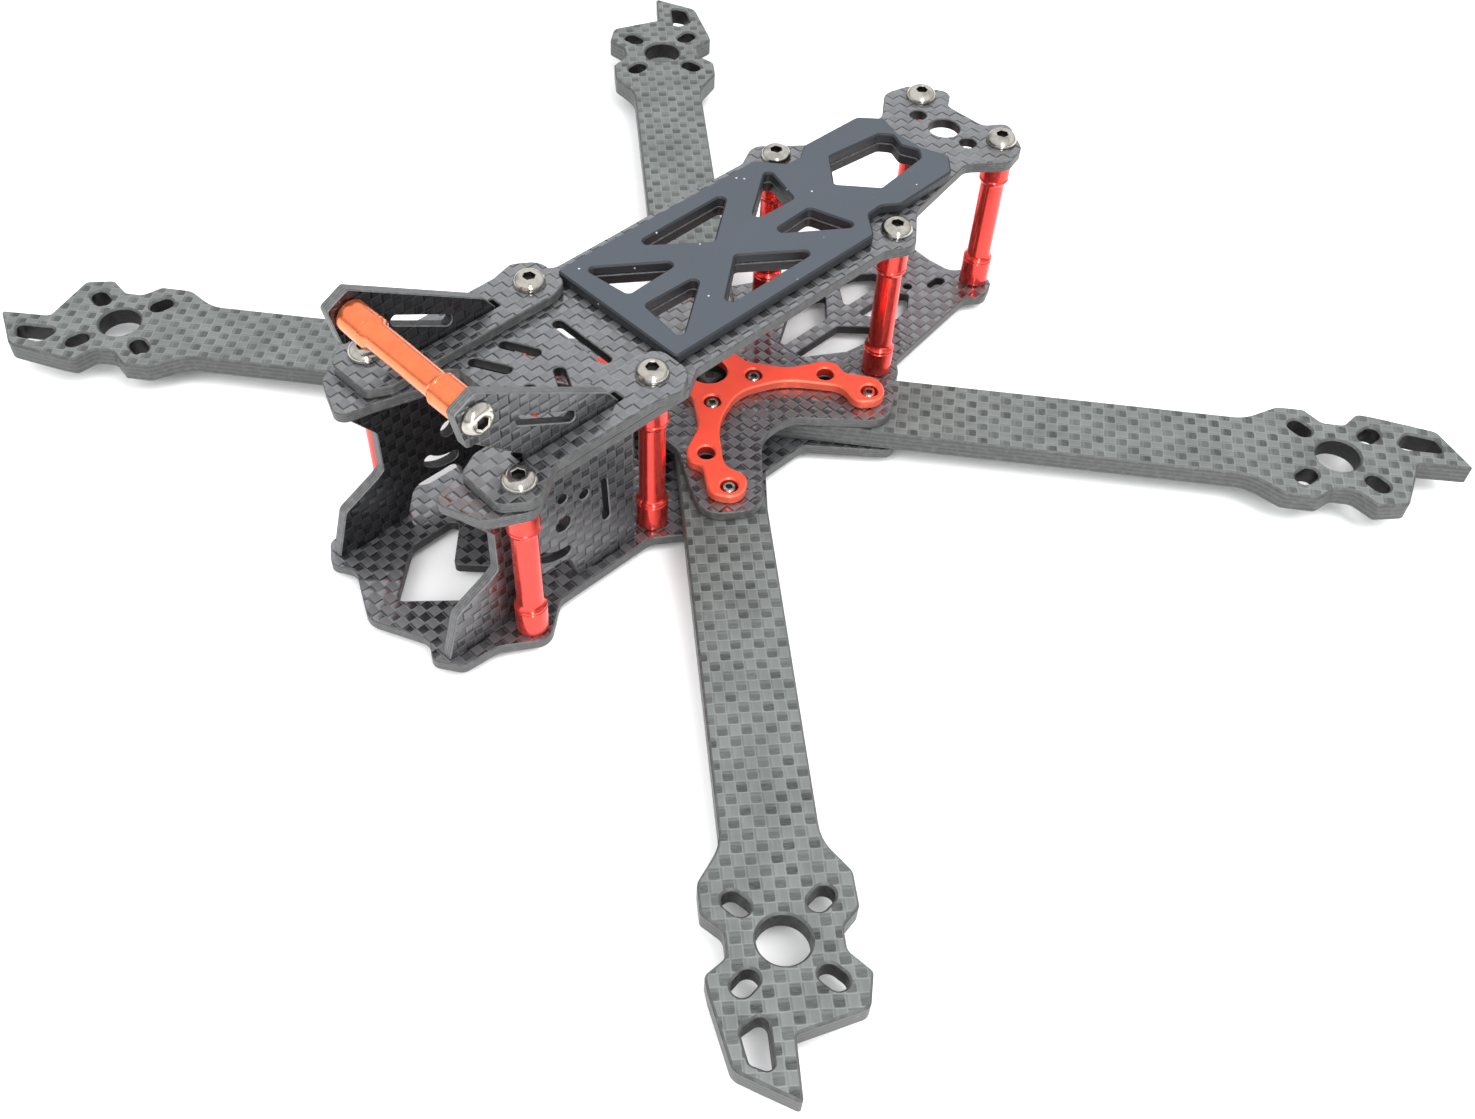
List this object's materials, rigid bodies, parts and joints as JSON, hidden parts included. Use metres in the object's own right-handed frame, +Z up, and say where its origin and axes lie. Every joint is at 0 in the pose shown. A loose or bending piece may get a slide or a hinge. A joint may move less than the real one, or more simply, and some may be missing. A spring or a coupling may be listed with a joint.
{
  "type": "racing quadcopter frame",
  "caption": "Bare carbon-fibre frame of a racing quadcopter: X arms with motor pads, sandwich body on red standoffs, camera cage with raised horns, and a battery pad.",
  "frame": {"origin": "centre of the bounding box in plan, at the height of the lowest screw heads", "axes": "+Z up, nose towards -Y, left side towards +X"},
  "size_m": [0.2162, 0.1806, 0.0553],
  "materials": {
    "carbon_arm": "woven carbon laminate, satin",
    "carbon_plate": "woven carbon laminate, satin",
    "carbon_cage": "woven carbon laminate, dark satin",
    "pad": "matt anti-slip pad",
    "red_plate": "matt red anodised",
    "red_anodised": "glossy red anodised",
    "screw_steel": "polished stainless"
  },
  "bodies": {
    "root": {"arm_front_left": "carbon_arm", "arm_front_right": "carbon_arm", "arm_rear_left": "carbon_arm", "arm_rear_right": "carbon_arm", "battery_pad": "pad", "bottom_plate": "carbon_plate", "cage_plate_left": "carbon_cage", "cage_plate_right": "carbon_cage", "horn_bar": "red_anodised", "mid_plate": "carbon_plate", "press_nut_plate": "red_plate", "prong_left": "carbon_plate", "prong_right": "carbon_plate", "screw_bottom_front_left": "screw_steel", "screw_bottom_front_right": "screw_steel", "screw_bottom_midfront_left": "screw_steel", "screw_bottom_midfront_right": "screw_steel", "screw_bottom_midrear_left": "screw_steel", "screw_bottom_midrear_right": "screw_steel", "screw_bottom_rear_left": "screw_steel", "screw_bottom_rear_right": "screw_steel", "screw_horn_left": "screw_steel", "screw_horn_right": "screw_steel", "screw_inner_front_left": "screw_steel", "screw_inner_front_right": "screw_steel", "screw_inner_rear_left": "screw_steel", "screw_inner_rear_right": "screw_steel", "screw_outer_front_left": "screw_steel", "screw_outer_front_right": "screw_steel", "screw_outer_rear_left": "screw_steel", "screw_outer_rear_right": "screw_steel", "screw_top_front_left": "screw_steel", "screw_top_front_right": "screw_steel", "screw_top_midfront_left": "screw_steel", "screw_top_midfront_right": "screw_steel", "screw_top_midrear_left": "screw_steel", "screw_top_midrear_right": "screw_steel", "screw_top_rear_left": "screw_steel", "screw_top_rear_right": "screw_steel", "standoff_front_left": "red_anodised", "standoff_front_right": "red_anodised", "standoff_midfront_left": "red_anodised", "standoff_midfront_right": "red_anodised", "standoff_midrear_left": "red_anodised", "standoff_midrear_right": "red_anodised", "standoff_rear_left": "red_anodised", "standoff_rear_right": "red_anodised", "top_plate": "carbon_plate"}
  },
  "joints": []
}
